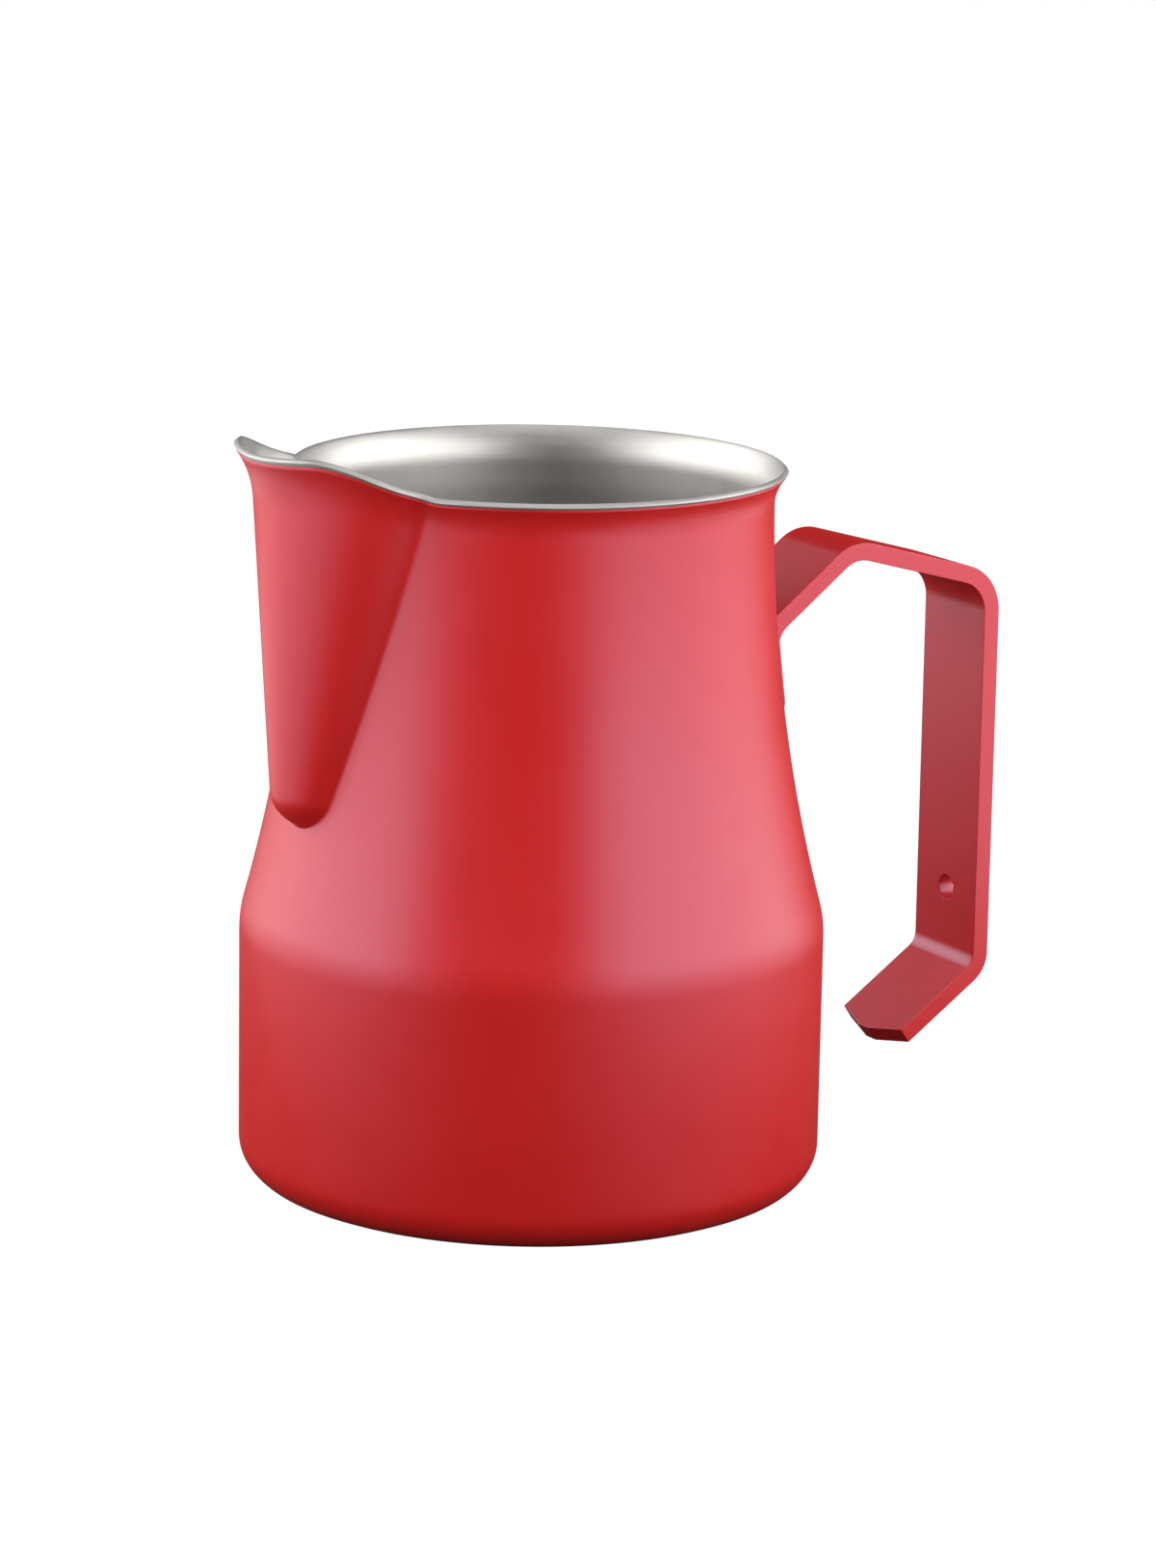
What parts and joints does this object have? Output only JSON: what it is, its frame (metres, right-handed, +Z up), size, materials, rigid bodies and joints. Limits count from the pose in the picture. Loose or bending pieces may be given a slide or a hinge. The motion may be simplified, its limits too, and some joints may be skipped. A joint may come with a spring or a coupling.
{
  "type": "milk frothing pitcher",
  "caption": "Tapered steel milk frothing pitcher with a pressed pouring spout, flared lip, red powder coat outside and an open bent strap handle.",
  "frame": {"origin": "on the vessel's axis, at the underside it stands on", "axes": "+Z up along the vessel's axis, +X towards the handle, spout at -X, mirror symmetric about the XZ plane"},
  "size_m": [0.1225, 0.0852, 0.11],
  "materials": {
    "satin_steel": "satin drawn stainless steel",
    "strap_steel": "stainless strip under the coat",
    "weld_steel": "resistance weld nugget",
    "red_coat": "satin red baked powder coat",
    "red_coat_handle": "satin red baked powder coat"
  },
  "bodies": {
    "root": {"vessel": "satin_steel", "handle_strap": "strap_steel", "spot_welds": "weld_steel", "vessel_coat": "red_coat", "handle_coat": "red_coat_handle"}
  },
  "joints": []
}
